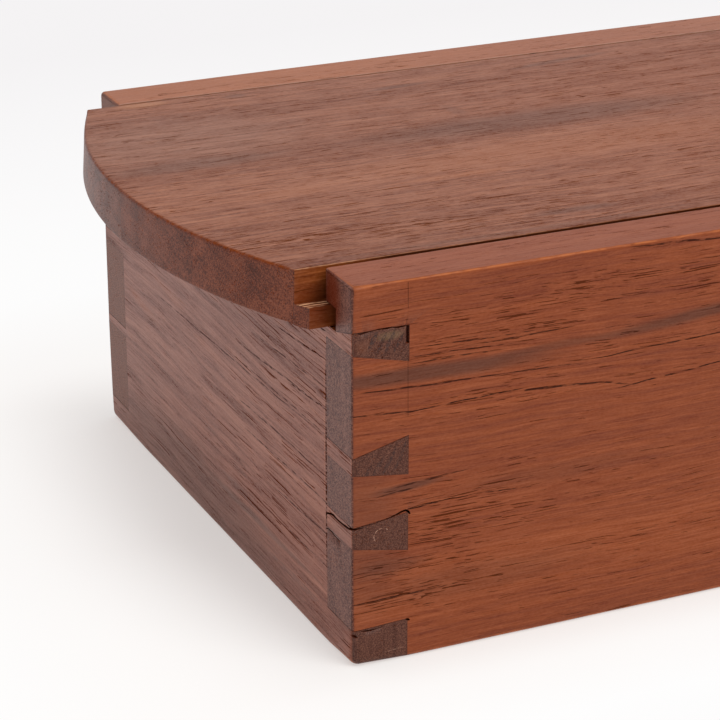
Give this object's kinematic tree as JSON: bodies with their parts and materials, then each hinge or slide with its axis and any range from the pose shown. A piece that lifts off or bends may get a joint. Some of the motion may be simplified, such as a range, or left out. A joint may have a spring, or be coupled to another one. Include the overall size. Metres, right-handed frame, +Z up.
{
  "type": "sliding lid box",
  "caption": "Low rectangular wooden box with through dovetailed corners and a flat lid that slides in grooves, its open end cut to a shallow bow.",
  "frame": {"origin": "middle of the whole outline with the lid shut, on the surface that the box stands on", "axes": "+X along the box from the lid's bowed end to the closed end, +Y from the front side to the back side, +Z up"},
  "size_m": [0.3202, 0.141, 0.081],
  "materials": {
    "side_wood": "oiled, satin",
    "end_wood": "oiled, satin",
    "panel_wood": "sanded, unfinished",
    "lid_front_wood": "oiled, satin",
    "lid_back_wood": "oiled, satin"
  },
  "bodies": {
    "case": {"side_front": "side_wood", "side_back": "side_wood", "end_open": "end_wood", "end_closed": "end_wood", "bottom_panel": "panel_wood"},
    "lid": {"lid_front_board": "lid_front_wood", "lid_back_board": "lid_back_wood"}
  },
  "joints": [
    {"name": "lid_slide", "type": "slide", "parent": "case", "child": "lid", "axis": [-1, 0, 0], "range_m": [0, 0.28]}
  ]
}
